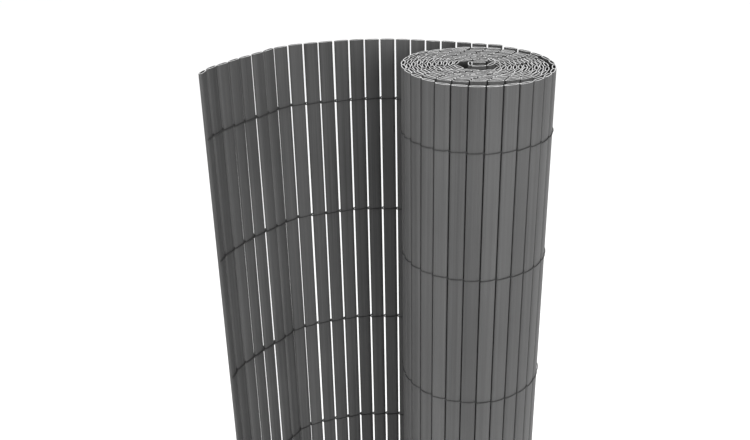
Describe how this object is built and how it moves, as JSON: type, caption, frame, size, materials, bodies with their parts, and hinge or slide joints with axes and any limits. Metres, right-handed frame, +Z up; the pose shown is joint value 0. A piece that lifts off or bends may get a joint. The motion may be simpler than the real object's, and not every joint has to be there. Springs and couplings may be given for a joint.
{
  "type": "privacy screen mat",
  "caption": "Privacy screen mat of hollow plastic slats bound by rows of thread, wound into an upright roll with its outer stretch standing free.",
  "frame": {"origin": "on the floor, under the middle of the plan box of the roll and its free stretch", "axes": "+Z up along the slats; the roll stands on the +X side; the free stretch runs behind it on +Y and ends on the -X side"},
  "size_m": [0.3596, 0.1958, 0.9],
  "materials": {
    "slat": "satin grey extruded plastic, fine lengthwise streaks",
    "thread": "dark grey twined synthetic thread"
  },
  "bodies": {
    "root": {"free_slat_01": "slat", "free_slat_02": "slat", "free_slat_03": "slat", "free_slat_04": "slat", "free_slat_05": "slat", "free_slat_06": "slat", "free_slat_07": "slat", "free_slat_08": "slat", "free_slat_09": "slat", "free_slat_10": "slat", "free_slat_11": "slat", "free_slat_12": "slat", "free_slat_13": "slat", "free_slat_14": "slat", "free_slat_15": "slat", "free_slat_16": "slat", "free_slat_17": "slat", "free_slat_18": "slat", "free_slat_19": "slat", "free_slat_20": "slat", "free_slat_21": "slat", "free_slat_22": "slat", "inside_thread_1": "thread", "inside_thread_2": "thread", "inside_thread_3": "thread", "inside_thread_4": "thread", "inside_thread_5": "thread", "inside_thread_6": "thread", "outside_thread_1": "thread", "outside_thread_2": "thread", "outside_thread_3": "thread", "outside_thread_4": "thread", "outside_thread_5": "thread", "outside_thread_6": "thread", "roll_turn_01": "slat", "roll_turn_02": "slat", "roll_turn_03": "slat", "roll_turn_04": "slat", "roll_turn_05": "slat", "roll_turn_06": "slat", "roll_turn_07": "slat", "roll_turn_08": "slat", "roll_turn_09": "slat", "roll_turn_10": "slat", "roll_turn_11": "slat", "roll_turn_12": "slat"}
  },
  "joints": []
}
